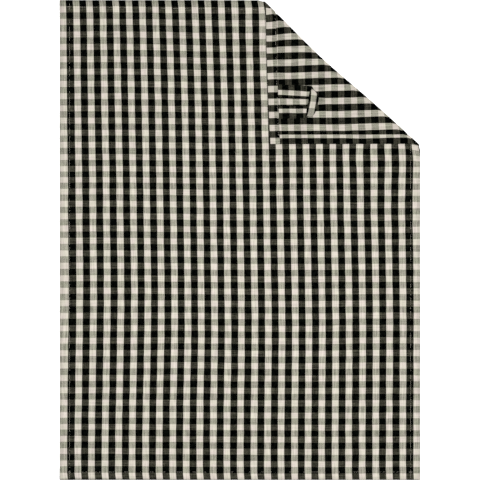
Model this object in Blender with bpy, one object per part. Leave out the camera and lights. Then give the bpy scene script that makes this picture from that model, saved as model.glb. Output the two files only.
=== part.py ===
"""A woven tea towel lying on its back, with its top right corner turned over onto its front.

Two objects: towel is one cloth with its hems and its turned corner, and hanging_loop is the
tape sewn under the top hem. Metres, +Z up, X across the towel and Y along it. The origin is
under the middle of the outline, and the whole underside lies on z = 0.
"""

import math

import bmesh
import bpy
from mathutils import Vector

# The towel as it lies.
WIDTH = 0.500
LENGTH = 0.666
CLOTH = 0.0010
HALF_WIDTH = WIDTH / 2
HALF_LENGTH = LENGTH / 2

# The hems: how deep each one is turned in, and what its layers add to the cloth.
SIDE_HEM = 0.0130
BOTTOM_HEM = 0.0118
TOP_HEM_AT_LEFT = 0.0112
TOP_HEM_AT_CREASE = 0.0142
TOP_HEM_AT_CORNER = 0.0132
HEM_RISE = 0.0009
HEM_STEP = 0.0004  # on the back a hem ends in a step this wide
HEM_SLOPE = 0.0050  # on the front the cloth runs down over that step this gently
HEM_BRIDGE = 0.0250  # the turned corner bridges a hem below it over this length

# The turned corner: its crease runs from the top edge to the right edge.
CREASE_TOP = Vector((0.0332, HALF_LENGTH))
CREASE_SIDE = Vector((HALF_WIDTH, 0.1314))
TURNED_CORNER = Vector((0.0414, 0.1332))
CREASE_BOW = 0.0040  # how far the crease runs inside its chord
CREASE_BOW_AT = 0.38  # where it does so most, as a share of the chord
CREASE_BOW_SPREAD = 0.27
CREASE_BOW_REACH = 0.040  # how far from the crease the cloth is drawn along with it
EDGE_BULGE = 0.0024  # the turned top edge bends out this far between its ends
FOLD_GAP = 0.0006  # air between the cloth and the corner that lies on it
CORNER_LIFT = 0.0014  # and how much more there is under the corner's tip
TURN = 0.0036  # flat cloth taken up by the rounded turn
TURN_STEPS = 6
EASE = 0.0050  # cloth beside the turn that eases into its radius

# The cloth's slight unevenness.
SWELL = 0.00014
SWELL_LENGTH = 0.170

# Spacing of the field's lines.
CELL = 0.020

# The hanging loop: a tape that leaves the top hem, turns over and comes back.
LOOP_ROOT = Vector((0.0531, 0.1917))
TAPE = 0.0014
LOOP_CLEARANCE = 0.0005
TAPE_ACROSS = 4  # cells from its inner edge to its outer one
TAPE_CROWN = 0.0004  # its middle stands this far above its edges, and more where it rises
MM = 0.001
# inner x, inner y, outer x, outer y and rise, in mm from the root's middle
LOOP_SECTIONS = (
    (0.4, 4.7, -0.2, 24.0, 0.0),
    (11.0, 4.4, 11.0, 23.4, 0.0),
    (22.0, 4.1, 22.0, 22.8, 0.1),
    (32.0, 3.9, 32.5, 22.3, 0.3),
    (39.0, 3.6, 40.3, 21.7, 0.6),
    (41.8, 3.0, 46.6, 20.7, 0.9),
    (42.5, 1.9, 51.4, 15.0, 1.1),
    (42.7, 0.6, 54.8, 9.0, 1.3),
    (42.5, -1.7, 53.9, 0.0, 1.3),
    (42.0, -3.4, 51.6, -9.4, 1.2),
    (41.4, -4.6, 48.4, -15.2, 1.0),
    (40.2, -5.3, 44.0, -20.2, 0.8),
    (37.0, -5.6, 38.0, -22.3, 0.5),
    (29.0, -5.7, 29.5, -22.9, 0.2),
    (19.5, -5.7, 19.5, -23.3, 0.1),
    (9.5, -5.6, 9.5, -23.5, 0.0),
    (0.7, -5.6, 1.3, -23.6, 0.0),
)

# The looks, as linear colours: the check's mean, and the tape's darker mix.
TOWEL_COLOUR = (0.300, 0.285, 0.245, 1.0)
LOOP_COLOUR = (0.210, 0.200, 0.170, 1.0)
COTTON_ROUGHNESS = 0.9

CHORD = CREASE_SIDE - CREASE_TOP
ALONG = CHORD.normalized()
PAST = Vector((-ALONG.y, ALONG.x))  # from the crease towards the flat corner


def crease_frame(plan):
    """How far a flat point is along the crease's chord, and how far past it."""
    offset = plan - CREASE_TOP
    return offset.dot(ALONG), offset.dot(PAST)


CORNER_ALONG, CORNER_PAST = crease_frame(Vector((HALF_WIDTH, HALF_LENGTH)))
TURNED_ALONG, TURNED_PAST = crease_frame(TURNED_CORNER)
FLAP_REACH = -TURNED_PAST / (CORNER_PAST - TURN)
FLAP_SLANT = (TURNED_ALONG - CORNER_ALONG) / (CORNER_PAST - TURN)


def smooth(share):
    """0 below 0, 1 above 1, and a soft S between them."""
    share = min(max(share, 0.0), 1.0)
    return share * share * (3.0 - 2.0 * share)


def top_hem(x):
    """Depth of the top hem, which was turned in a little unevenly."""
    if x < CREASE_TOP.x:
        share = (x + HALF_WIDTH) / (CREASE_TOP.x + HALF_WIDTH)
        return TOP_HEM_AT_LEFT + share * (TOP_HEM_AT_CREASE - TOP_HEM_AT_LEFT)
    share = (x - CREASE_TOP.x) / (HALF_WIDTH - CREASE_TOP.x)
    return TOP_HEM_AT_CREASE + share * (TOP_HEM_AT_CORNER - TOP_HEM_AT_CREASE)


def hem_layers(flat, soften, slope):
    """Sum of the hems' shares at a flat point, each 1 on its hem and 0 past its slope."""
    past_side = HALF_WIDTH - abs(flat.x) - SIDE_HEM
    past_bottom = flat.y + HALF_LENGTH - BOTTOM_HEM
    past_top = HALF_LENGTH - flat.y - top_hem(flat.x)
    shares = (min(max(past / slope, 0.0), 1.0) for past in (past_side, past_bottom, past_top))
    return sum(1.0 - (smooth(share) if soften else share) for share in shares)


def swell(plan):
    """The soft rise and fall of cloth that has been smoothed out by hand."""
    across = math.sin(plan.x * math.tau / SWELL_LENGTH + 1.1)
    down = math.cos(plan.y * math.tau / (1.3 * SWELL_LENGTH) - 0.6)
    return SWELL * (1.0 + across * down)


def front_height(plan, slope=HEM_SLOPE):
    """Height of the front of the cloth that lies on its back."""
    return CLOTH + HEM_RISE * hem_layers(plan, True, slope) + swell(plan)


def flap_under(plan, share):
    """Height of the turned corner's lower side; share is 0 at its crease and 1 at its tip."""
    return front_height(plan, HEM_BRIDGE) + FOLD_GAP + CORNER_LIFT * share**1.5


def flap_thickness(flat):
    """The turned corner shows its back, where the hems end in a step."""
    return CLOTH + HEM_RISE * hem_layers(flat, False, HEM_STEP)


def drawn_in(plan, along, past):
    """The plan point moved along with the crease, which bows inside its chord."""
    share = along / CHORD.length
    bell = math.exp(-(((share - CREASE_BOW_AT) / CREASE_BOW_SPREAD) ** 2))
    return plan - PAST * CREASE_BOW * bell * math.exp(-((past / CREASE_BOW_REACH) ** 2))


def place_on_floor(flat, along, past, on_front, radius):
    """A point of the cloth that lies on its back."""
    beside = past
    if past > -EASE:
        beside = -EASE + (past + EASE) * (EASE - radius) / EASE
    plan = drawn_in(CREASE_TOP + along * ALONG + beside * PAST, along, beside)
    return plan.to_3d() + Vector((0, 0, front_height(flat) if on_front else 0.0))


def place_in_turn(along, past, on_front, radius, low, high, top):
    """A point of the half round turn: its front goes from low to high, its back from 0 to top."""
    swing = math.pi * past / TURN
    start, end = (low, high) if on_front else (0.0, top)
    reach = radius - (low + top - high) / 2 if on_front else radius
    plan = CREASE_TOP + along * ALONG + (reach * math.sin(swing) - radius) * PAST
    height = start + (end - start) * (1.0 - math.cos(swing)) / 2
    return drawn_in(plan, along, 0.0).to_3d() + Vector((0, 0, height))


def place_on_flap(flat, along, past, on_front, radius):
    """A point of the turned corner, which lies front down on the cloth."""
    back = past - TURN
    beside = FLAP_REACH * back
    if back < EASE:
        beside = radius + (back / EASE) * (FLAP_REACH * EASE - radius)
    share = back / (CORNER_PAST - TURN)
    plan = CREASE_TOP + (along + FLAP_SLANT * back) * ALONG - beside * PAST
    plan = drawn_in(plan, along, beside)
    edge = math.exp(-((HALF_LENGTH - flat.y) / CREASE_BOW_REACH))
    plan.x -= EDGE_BULGE * edge * math.sin(math.pi * min(share, 1.0))
    height = flap_under(plan, share)
    return plan.to_3d() + Vector((0, 0, height if on_front else height + flap_thickness(flat)))


def lay(flat, on_front):
    """Where a point of the flat cloth lies once its corner is turned over."""
    along, past = crease_frame(flat)
    on_crease = CREASE_TOP + along * ALONG
    low = front_height(on_crease)
    high = flap_under(on_crease, 0.0)
    radius = (high + CLOTH + HEM_RISE * hem_layers(flat, True, HEM_SLOPE)) / 2
    if past <= 0:
        return place_on_floor(flat, along, past, on_front, radius)
    if past < TURN:
        top = high + flap_thickness(flat)
        return place_in_turn(along, past, on_front, radius, low, high, top)
    return place_on_flap(flat, along, past, on_front, radius)


def evenly(start, end):
    """Places from start to end, at most a cell apart, without the two ends."""
    count = math.ceil((end - start) / CELL)
    return [start + (end - start) * k / count for k in range(1, count)]


def sheet_columns():
    """X of the sheet's lines: close at the side hems and a cell apart between them."""
    inner = HALF_WIDTH - SIDE_HEM
    right = [inner - HEM_SLOPE, inner - HEM_SLOPE / 2, inner - HEM_STEP, inner, HALF_WIDTH]
    left = [-x for x in reversed(right)]
    return left + evenly(left[-1], right[0]) + right


def sheet_rows(x):
    """Y of the sheet's lines at x: the top ones follow the uneven hem."""
    low = BOTTOM_HEM - HALF_LENGTH
    high = HALF_LENGTH - top_hem(x)
    bottom = [-HALF_LENGTH, low, low + HEM_STEP, low + HEM_SLOPE / 2, low + HEM_SLOPE]
    top = [high - HEM_SLOPE, high - HEM_SLOPE / 2, high - HEM_STEP, high, HALF_LENGTH]
    between = evenly(low + HEM_SLOPE, HALF_LENGTH - TOP_HEM_AT_CREASE - HEM_SLOPE)
    return bottom + between + top


def flat_sheet():
    """The flat cloth as one closed body, its back at z = 0 and its front at z = 1."""
    columns = sheet_columns()
    across = len(columns) - 1
    up = len(sheet_rows(0.0)) - 1
    cloth = bmesh.new()
    bmesh.ops.create_grid(cloth, x_segments=across, y_segments=up, size=0.5)
    for vertex in cloth.verts:
        x = columns[round((vertex.co.x + 0.5) * across)]
        y = sheet_rows(x)[round((vertex.co.y + 0.5) * up)]
        vertex.co = (x, y, 0.0)
    turn_lines = [TURN * k / TURN_STEPS for k in range(TURN_STEPS + 1)]
    for distance in [-EASE, *turn_lines, TURN + EASE]:
        line_point = (CREASE_TOP + distance * PAST).to_3d()
        every_part = [*cloth.verts, *cloth.edges, *cloth.faces]
        bmesh.ops.bisect_plane(
            cloth, geom=every_part, dist=1e-6, plane_co=line_point, plane_no=PAST.to_3d()
        )
    raised = bmesh.ops.extrude_face_region(cloth, geom=cloth.faces[:])["geom"]
    for part in raised:
        if isinstance(part, bmesh.types.BMVert):
            part.co.z = 1.0
    bmesh.ops.recalc_face_normals(cloth, faces=cloth.faces[:])
    return cloth


def make_towel():
    """The cloth with its hems, laid down with one corner turned over."""
    cloth = flat_sheet()
    for vertex in cloth.verts:
        vertex.co = lay(vertex.co.to_2d(), vertex.co.z > 0.5)
    return new_object("towel", cloth, TOWEL_COLOUR)


def flap_top(plan):
    """Height of the turned corner's upper side, between its hems."""
    share = crease_frame(plan)[1] / TURNED_PAST
    return flap_under(plan, share) + CLOTH


def make_loop():
    """The tape, laid over the turned corner and curling up a little where it turns."""
    tape = bmesh.new()
    last = len(LOOP_SECTIONS) - 1
    bmesh.ops.create_grid(tape, x_segments=last, y_segments=TAPE_ACROSS, size=0.5)
    for vertex in tape.verts:
        inner_x, inner_y, outer_x, outer_y, rise = LOOP_SECTIONS[round((vertex.co.x + 0.5) * last)]
        share = vertex.co.y + 0.5
        inner = LOOP_ROOT + MM * Vector((inner_x, inner_y))
        outer = LOOP_ROOT + MM * Vector((outer_x, outer_y))
        plan = inner.lerp(outer, share)
        crown = (TAPE_CROWN + MM * rise) * math.sin(math.pi * share)
        height = flap_top(plan) + LOOP_CLEARANCE + MM * rise + crown
        vertex.co = plan.to_3d() + Vector((0, 0, height))
    bmesh.ops.recalc_face_normals(tape, faces=tape.faces[:])
    if sum(face.normal.z for face in tape.faces) < 0:
        bmesh.ops.reverse_faces(tape, faces=tape.faces[:])
    loop = new_object("hanging_loop", tape, LOOP_COLOUR)
    thickness = loop.modifiers.new("thickness", "SOLIDIFY")
    thickness.thickness = TAPE
    thickness.offset = 1.0
    return loop


def new_object(name, shape, colour):
    """A linked object of this mesh, smooth shaded, with its own cotton material."""
    mesh = bpy.data.meshes.new(name)
    shape.to_mesh(mesh)
    shape.free()
    mesh.shade_smooth()
    mesh.set_sharp_from_angle(angle=math.radians(40))
    cotton = bpy.data.materials.new(name)
    cotton.use_nodes = True
    shader = cotton.node_tree.nodes["Principled BSDF"]
    shader.inputs["Base Color"].default_value = colour
    shader.inputs["Roughness"].default_value = COTTON_ROUGHNESS
    shader.inputs["Metallic"].default_value = 0.0
    mesh.materials.append(cotton)
    made = bpy.data.objects.new(name, mesh)
    bpy.context.scene.collection.objects.link(made)
    return made


for old in list(bpy.data.objects):
    bpy.data.objects.remove(old, do_unlink=True)
make_towel()
make_loop()
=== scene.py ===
# %% [markdown]
# # A gingham tea towel with one corner turned over
#
# The towel is one rectangle of plain-woven cotton. It is hemmed all round, it lies on its back, and
# its top right corner is turned over onto its front, so that the hems' inner edges and the hanging
# loop show. This lesson cuts the cloth flat, folds its hems, maps the check onto it, turns its
# corner, sews it, and adds the loop. Everything is in metres, X across the towel, Y along it, Z up.

# %% Load the solids from model.glb
import math

import bmesh
import bpy
from mathutils import Matrix, Vector, noise


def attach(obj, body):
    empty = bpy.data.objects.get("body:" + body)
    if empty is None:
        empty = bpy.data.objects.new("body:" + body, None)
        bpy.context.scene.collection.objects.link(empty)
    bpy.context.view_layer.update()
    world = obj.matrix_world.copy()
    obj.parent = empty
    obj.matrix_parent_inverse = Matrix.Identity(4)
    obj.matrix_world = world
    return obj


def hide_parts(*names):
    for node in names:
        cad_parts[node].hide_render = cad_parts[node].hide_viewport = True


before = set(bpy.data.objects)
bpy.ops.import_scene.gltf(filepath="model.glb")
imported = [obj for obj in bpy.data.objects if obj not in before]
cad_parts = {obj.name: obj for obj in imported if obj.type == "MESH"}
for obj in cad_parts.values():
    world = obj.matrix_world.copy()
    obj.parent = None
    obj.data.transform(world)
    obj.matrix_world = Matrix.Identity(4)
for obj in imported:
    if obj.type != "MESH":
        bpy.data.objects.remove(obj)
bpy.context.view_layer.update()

# %% [markdown]
# ## Sizes
#
# Most of the sizes below are the ones that the solids were made from. The cloth that shows is
# thinner than its solid, so that a hem has room for its three layers: the cloth, the edge that is
# turned in, and the strip that covers it. The side hems reach 0.6 mm further in than the solid's,
# which end at the seam.

# %% Sizes of the towel as it lies
MM = 0.001
WIDTH = 0.500
LENGTH = 0.666
HALF_WIDTH = WIDTH / 2
HALF_LENGTH = LENGTH / 2
SOLID_CLOTH = 0.0010
HEM_RISE = 0.0009
HEM_SLOPE = 0.0050  # how far from a hem the cloth on it comes down
HEM_BRIDGE = 0.0250  # the same for the turned corner, which lies less close
SIDE_HEM = 0.0136
BOTTOM_HEM = 0.0118
TOP_HEM_AT_LEFT = 0.0112
TOP_HEM_AT_CREASE = 0.0142
TOP_HEM_AT_CORNER = 0.0132
SWELL = 0.00014
SWELL_ACROSS = 0.170  # from one swell to the next, and where in its turn the middle is
SWELL_DOWN = 0.221
SWELL_TURN_ACROSS = 1.1
SWELL_TURN_DOWN = -0.6
print("the towel lies", WIDTH, "by", LENGTH, "m")

# %% Sizes of the turned corner
CREASE_TOP = Vector((0.0332, HALF_LENGTH))
CREASE_SIDE = Vector((HALF_WIDTH, 0.1314))
TURNED_CORNER = Vector((0.0414, 0.1332))
CREASE_BOW = 0.0040  # how far the crease bows inside its chord
CREASE_BOW_AT = 0.38  # its place and its spread, as shares of the chord
CREASE_BOW_SPREAD = 0.27
CREASE_BOW_REACH = 0.040
EDGE_BULGE = 0.0024
FOLD_DRAW = 0.0018
FOLD_DRAW_AT_ENDS = 0.45  # its share at the crease and at the tip
FOLD_DRAW_START = 0.08
FOLD_DRAW_REACH = 0.012
FOLD_GAP = 0.0006
CORNER_LIFT = 0.0014
LIFT_CURVE = 1.5
TURN = 0.0036  # how much cloth the half round turn takes
TURN_STEPS = 12
EASE = 0.0050  # over how much cloth beside the turn its shape evens out
CHORD = CREASE_SIDE - CREASE_TOP
ALONG = CHORD.normalized()
PAST = Vector((-ALONG.y, ALONG.x))
print("the crease is", round(CHORD.length, 3), "m long")

# %% Sizes of the cloth and its seams
SHEET = 0.0005  # the cloth's thickness
PLY = 0.0007  # from one layer of a hem to the next
CORNER_PLY = 0.000575  # the same where two hems cross, pressed closer
TURNED_IN = 0.0085  # the raw edge inside a hem
CELL = 0.0042  # the most between two lines of the cloth's mesh
LEFT_SEAM = 0.0134  # a seam's distance from its outline
RIGHT_SEAM = 0.0132
BOTTOM_SEAM = 0.0110
TOP_SEAM_AT_LEFT = 0.0094
TOP_SEAM_AT_CREASE = 0.0131
TOP_SEAM_AT_CORNER = 0.0121
STITCH_PULL = 0.00010  # how far a seam draws each face of the cloth in
PULL_REACH = 0.0022
PUCKER = 0.5  # how uneven that is
PUCKER_LENGTH = 0.011
PUCKER_WIDTH = 0.020
print("a hem is", round((SHEET + 2 * PLY) / MM, 2), "mm thick")

# %% [markdown]
# ## Where the cloth lies
#
# A towel that is smoothed out by hand still swells a little, and its front slopes up to the hems,
# which are thicker. These functions give the height of its front at any place.


# %% The height of the towel's front
def smooth(share):
    """0 below 0, 1 above 1, and a soft S between them."""
    share = min(max(share, 0.0), 1.0)
    return share * share * (3.0 - 2.0 * share)


def bell(away, reach):
    """1 at a place, about a third at its reach, and 0 well past that."""
    return math.exp(-((away / reach) ** 2))


def along_top(x, at_left, at_crease, at_corner):
    """A depth at the top edge, which changes evenly from the left to the crease and on."""
    if x < CREASE_TOP.x:
        share = (x + HALF_WIDTH) / (CREASE_TOP.x + HALF_WIDTH)
        return at_left + share * (at_crease - at_left)
    share = (x - CREASE_TOP.x) / (HALF_WIDTH - CREASE_TOP.x)
    return at_crease + share * (at_corner - at_crease)


def top_hem(x):
    """Depth of the top hem, which was turned in a little unevenly."""
    return along_top(x, TOP_HEM_AT_LEFT, TOP_HEM_AT_CREASE, TOP_HEM_AT_CORNER)


def end_seam(end, x):
    """Distance of the bottom seam, end -1, or the top one, end 1, from its outline at x."""
    if end < 0:
        return BOTTOM_SEAM
    return along_top(x, TOP_SEAM_AT_LEFT, TOP_SEAM_AT_CREASE, TOP_SEAM_AT_CORNER)


def side_seam(side):
    """Distance of the left seam, side below 0, or the right one from its outline."""
    return LEFT_SEAM if side < 0 else RIGHT_SEAM


def hem_layers(plan, slope=HEM_SLOPE):
    """Sum of the hems' shares at a place, each 1 on its hem and 0 past its slope."""
    past_side = HALF_WIDTH - abs(plan.x) - SIDE_HEM
    past_bottom = plan.y + HALF_LENGTH - BOTTOM_HEM
    past_top = HALF_LENGTH - plan.y - top_hem(plan.x)
    return sum(1.0 - smooth(past / slope) for past in (past_side, past_bottom, past_top))


def front_height(plan, slope=HEM_SLOPE):
    """Height of the front of the cloth that lies on its back."""
    across = math.sin(plan.x * math.tau / SWELL_ACROSS + SWELL_TURN_ACROSS)
    down = math.cos(plan.y * math.tau / SWELL_DOWN + SWELL_TURN_DOWN)
    swell = SWELL * (1.0 + across * down)
    return SOLID_CLOTH + HEM_RISE * hem_layers(plan, slope) + swell


print("its front is", round(front_height(Vector((0, 0))) / MM, 2), "mm high in the middle")

# %% [markdown]
# ## The turned corner
#
# The crease runs from the top edge to the right edge. Cloth before it lies on the surface, cloth
# past it lies front down on the towel, and between them it makes a half round turn. `lay` takes a
# place on the flat towel and a depth under its front, and gives the point in space. Anything made
# flat, such as a hem or a stitch, is laid by the same function, so it all turns over together.


# %% Places beside the crease
def crease_frame(plan):
    """How far a flat point is along the crease's chord, and how far past it."""
    offset = plan - CREASE_TOP
    return offset.dot(ALONG), offset.dot(PAST)


CORNER_ALONG, CORNER_PAST = crease_frame(Vector((HALF_WIDTH, HALF_LENGTH)))
TURNED_ALONG, TURNED_PAST = crease_frame(TURNED_CORNER)
FLAP_REACH = -TURNED_PAST / (CORNER_PAST - TURN)
FLAP_SLANT = (TURNED_ALONG - CORNER_ALONG) / (CORNER_PAST - TURN)


def drawn_in(plan, along, past):
    """The plan point moved along with the crease, which bows inside its chord."""
    bow = bell(along / CHORD.length - CREASE_BOW_AT, CREASE_BOW_SPREAD)
    return plan - PAST * CREASE_BOW * bow * bell(past, CREASE_BOW_REACH)


def flap_under(plan, share):
    """Height of the turned corner's lower side; share is 0 at its crease and 1 at its tip."""
    return front_height(plan, HEM_BRIDGE) + FOLD_GAP + CORNER_LIFT * share**LIFT_CURVE


def flap_bulge(flat, share):
    """How far the turned top edge bends out between its ends, less what its fold is drawn in."""
    from_edge = HALF_LENGTH - flat.y
    bow = math.sin(math.pi * min(max(share, 0.0), 1.0))
    evenness = FOLD_DRAW_AT_ENDS + (1.0 - FOLD_DRAW_AT_ENDS) * bow
    drawn = FOLD_DRAW * evenness * smooth(share / FOLD_DRAW_START)
    bulge = EDGE_BULGE * bow * math.exp(-from_edge / CREASE_BOW_REACH)
    return bulge - drawn * math.exp(-from_edge / FOLD_DRAW_REACH)


# %% Lay a flat point in space
def lay(flat, depth):
    """The point that is depth under the front of the flat towel, once its corner is turned."""
    along, past = crease_frame(flat)
    on_crease = CREASE_TOP + along * ALONG
    low = front_height(on_crease)
    high = flap_under(on_crease, 0.0)
    layers = hem_layers(flat)
    radius = (high + SOLID_CLOTH + HEM_RISE * layers) / 2
    if past <= 0:
        beside = past
        if past > -EASE:
            beside = -EASE + (past + EASE) * (EASE - radius) / EASE
        plan = drawn_in(on_crease + beside * PAST, along, beside)
        return Vector((*plan, front_height(flat) - depth))
    if past < TURN:
        swing = math.pi * past / TURN
        reach = radius - (SHEET + 2 * PLY * min(layers, 1.0) - depth)
        plan = drawn_in(on_crease + (reach * math.sin(swing) - radius) * PAST, along, 0.0)
        height = (low + high) / 2 - ((high - low) / 2 + depth) * math.cos(swing)
        return Vector((*plan, height))
    back = past - TURN
    beside = FLAP_REACH * back
    if back < EASE:
        beside = radius + (back / EASE) * (FLAP_REACH * EASE - radius)
    share = back / (CORNER_PAST - TURN)
    plan = drawn_in(on_crease + FLAP_SLANT * back * ALONG - beside * PAST, along, beside)
    plan.x -= flap_bulge(flat, share)
    return Vector((*plan, flap_under(plan, share) + depth))


print("the turned corner's tip lies at", lay(Vector((HALF_WIDTH, HALF_LENGTH)), 0.0))

# %% [markdown]
# ## The double hem
#
# A hem is made by turning the raw edge in, turning the edge over once more, and sewing through all
# three layers. Seen from the end that is a spiral: a half round fold at the towel's outline, the
# strip behind, a tighter fold at the strip's inner edge, and the raw edge lying between. `step`
# counts through those four stretches, so that the same function serves hems of any depth.


# %% The section of a hem
def corner_share(x):
    """1 where the side hems lie inside an end hem, and 0 between them."""
    return 1.0 - smooth((HALF_WIDTH - abs(x) - SIDE_HEM) / HEM_SLOPE)


def pressed_ply(crossed):
    """From one layer of a hem to the next; crossed is 1 where two hems cross, and 0 elsewhere."""
    return PLY + crossed * (CORNER_PLY - PLY)


def hem_section(step, hem, ply, lift, inside=0.0):
    """Distance from the outline and depth under the front, for a place on a hem.

    step is 0 to 1 round the outline's fold, to 2 along the strip, to 3 round its inner fold and to
    4 along the turned-in edge. lift is the room that is left for layers inside the hem, and inside
    is how far from its cloth a point is, towards those layers.
    """
    outer = (lift + 2 * ply) / 2
    inner = ply / 2
    if step <= 1:
        swing = math.pi * step
        arm = outer - inside
        return outer - arm * math.sin(swing), outer - arm * math.cos(swing)
    if step <= 2:
        return outer + (step - 1) * (hem - inner - outer), 2 * outer - inside
    if step <= 3:
        swing = math.pi * (step - 2)
        return hem - inner + inner * math.sin(swing), 2 * outer - inner + inner * math.cos(swing)
    return hem - inner - (step - 3) * TURNED_IN, 2 * outer - ply


def cloth_beyond(step, hem):
    """How much cloth lies between the outline and that place on a hem."""
    if step <= 0:
        return 0.0
    if step <= 1:
        return step * PLY
    if step <= 2:
        return PLY + (step - 1) * (hem - 1.5 * PLY)
    if step <= 3:
        return hem - PLY / 2 + (step - 2) * math.pi * PLY / 2
    return hem + (math.pi - 1) / 2 * PLY + (step - 3) * TURNED_IN


FOLD_STEPS = 6
STRIP_STEPS = (1.3, 1.6, 1.8, 1.9, 1.97)  # closer where the seam runs
INNER_STEPS = 4
EDGE_STEPS = (3.35, 3.7, 4.0)
hem_steps = [k / FOLD_STEPS for k in range(FOLD_STEPS + 1)]
hem_steps += STRIP_STEPS
hem_steps += [2 + k / INNER_STEPS for k in range(INNER_STEPS + 1)]
hem_steps += EDGE_STEPS
print("a hem has", len(hem_steps), "lines along it")

# %% [markdown]
# ## Where the loop is sewn in
#
# The loop's two legs go in under the strip of the top hem, which stands up over them. Their places
# were read on the turned edge, so they are carried back to the flat towel.

# %% The loop's place on the top hem
LOOP_ROOT = Vector((0.0531, 0.1917))
UPPER_LEG = (0.0044, 0.0240)  # its two edges, up from the root
LOWER_LEG = (-0.0236, -0.0056)
LEG_RAMP = 0.0050  # beside a leg, how far the strip takes to come down
LOOP_BULGE = 0.00095
BULGE_START = 0.002  # from the outline, where the strip starts to rise, and over how much
BULGE_RISE = 0.005


def flat_top_x(turned_y):
    """Where on the flat top edge a height on the turned edge comes from."""
    share = (HALF_LENGTH - turned_y) / (HALF_LENGTH - TURNED_CORNER.y)
    return CREASE_TOP.x + share * (HALF_WIDTH - CREASE_TOP.x)


def loop_bulge(x, from_outline):
    """How far the top hem's strip stands up over the loop's legs."""
    raised = 0.0
    for leg in (UPPER_LEG, LOWER_LEG):
        start, end = (flat_top_x(LOOP_ROOT.y + y) for y in reversed(leg))
        away = max(start - x, x - end, 0.0)
        raised = max(raised, 1.0 - smooth(away / LEG_RAMP))
    return LOOP_BULGE * raised * smooth((from_outline - BULGE_START) / BULGE_RISE)


print("the upper leg goes in", round(flat_top_x(LOOP_ROOT.y + UPPER_LEG[1]), 3), "m across")

# %% [markdown]
# ## Folding the flat cloth
#
# `fold_hems` takes a line across and a line along, and gives the place under which that bit of
# cloth lies, its depth, and how much cloth there is between it and the outline. A line is either a
# distance from the middle, or an end and a step on that end's hem. The stitches pull the layers
# together a little, and more in one place than in another, which puckers the hem.


# %% Fold the hems
PULL_SEED = 3.7


def pull(along, from_stitches):
    """How far the stitches draw a face of the hem in."""
    grain = Vector((along / PUCKER_LENGTH, from_stitches / PUCKER_WIDTH, PULL_SEED))
    uneven = 1.0 + PUCKER * noise.noise(grain)
    return STITCH_PULL * uneven * bell(from_stitches, PULL_REACH)


def end_hem(end, x):
    """Depth of the bottom hem, end -1, or the top one, end 1, at x."""
    return top_hem(x) if end > 0 else BOTTOM_HEM


def fold_hems(column, row):
    """Flat place, depth of the sheet's middle, and the cloth beyond the side and the end."""
    side, across = column
    end, up = row
    depth = SHEET / 2
    over_side = 0.0
    over_end = 0.0
    y = up
    if end:
        y = end * HALF_LENGTH
    inside = 0.0
    x = across
    if side:
        near_end = smooth((abs(y) - HALF_LENGTH + BOTTOM_HEM + HEM_SLOPE) / HEM_SLOPE)
        from_side, inside = hem_section(across, SIDE_HEM, pressed_ply(near_end), 0.0)
        x = side * (HALF_WIDTH - from_side)
        over_side = side * cloth_beyond(across, SIDE_HEM)
        if 1 < across <= 2:
            inside -= pull(y, from_side - side_seam(side))
    if end:
        crossed = corner_share(x)
        hem = end_hem(end, x)
        lift = crossed * 2 * CORNER_PLY
        from_end, under = hem_section(up, hem, pressed_ply(crossed), lift, inside)
        y = end * (HALF_LENGTH - from_end)
        over_end = end * cloth_beyond(up, hem)
        if 1 < up <= 2:
            under -= pull(x, from_end - end_seam(end, x))
        if end > 0 and up > 1:
            under += loop_bulge(x, from_end)
        depth += under
    else:
        depth += inside
    if not end and not side:
        depth += pull(x, HALF_LENGTH - abs(y) - end_seam(y, x))
        depth += pull(y, HALF_WIDTH - abs(x) - side_seam(x))
    return Vector((x, y)), depth, over_side, over_end


# %% The lines of the cut cloth
SEAM_CELL = 0.0020
CLEAR_OF_FOLD = 0.00119  # the first line past the outline's fold


def seam_lines(nearest, furthest):
    """Distances from an outline, closer where a seam runs between these two distances."""
    start = nearest - SEAM_CELL
    count = math.ceil((furthest + SEAM_CELL - start) / SEAM_CELL)
    close = [start + SEAM_CELL * k for k in range(count + 1)]
    return [CLEAR_OF_FOLD, (CLEAR_OF_FOLD + start) / 2, *close]


def middle_lines(half, low_lines, high_lines):
    """Distances from the middle, between two hems' folds."""
    start = -half + low_lines[-1]
    span = half - high_lines[-1] - start
    count = math.ceil(span / CELL)
    between_seams = [start + span * k / count for k in range(1, count)]
    low_part = [-half + distance for distance in low_lines]
    high_part = [half - distance for distance in reversed(high_lines)]
    return low_part + between_seams + high_part


def cut_lines(middle):
    """Every line of the cloth in order: one hem inside out, the middle, and the other hem."""
    lines = [(-1, step) for step in reversed(hem_steps)]
    lines += [(0, place) for place in middle]
    lines += [(1, step) for step in hem_steps]
    return lines


left_lines = seam_lines(LEFT_SEAM, LEFT_SEAM)
right_lines = seam_lines(RIGHT_SEAM, RIGHT_SEAM)
bottom_lines = seam_lines(BOTTOM_SEAM, BOTTOM_SEAM)
top_lines = seam_lines(TOP_SEAM_AT_LEFT, TOP_SEAM_AT_CREASE)
columns = cut_lines(middle_lines(HALF_WIDTH, left_lines, right_lines))
rows = cut_lines(middle_lines(HALF_LENGTH, bottom_lines, top_lines))
print(len(columns), "lines across and", len(rows), "lines along")

# %% [markdown]
# ## Making the cloth
#
# A grid with one vertex for each crossing of those lines is folded first. The corners' spare
# squares are cut away, as a sewer clips them so that the corner isn't bulky. Then the folded towel,
# hems and all, is cut along lines through the crease, and laid. The cloth that shows is this sheet
# with a thickness.


# %% Fold the cloth and cut its creases
ON_HEM = 0.001  # steps just past the outline, past half of its fold, and past the whole strip
HALF_ROUND = 0.51
PAST_STRIP = 2.01


def clipped(face, side_step, end_step):
    """True where the allowance would lie in a corner twice."""
    side = max(vertex[side_step] for vertex in face.verts)
    end = max(vertex[end_step] for vertex in face.verts)
    return min(side, end) > ON_HEM and (side > HALF_ROUND or end > PAST_STRIP)


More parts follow.
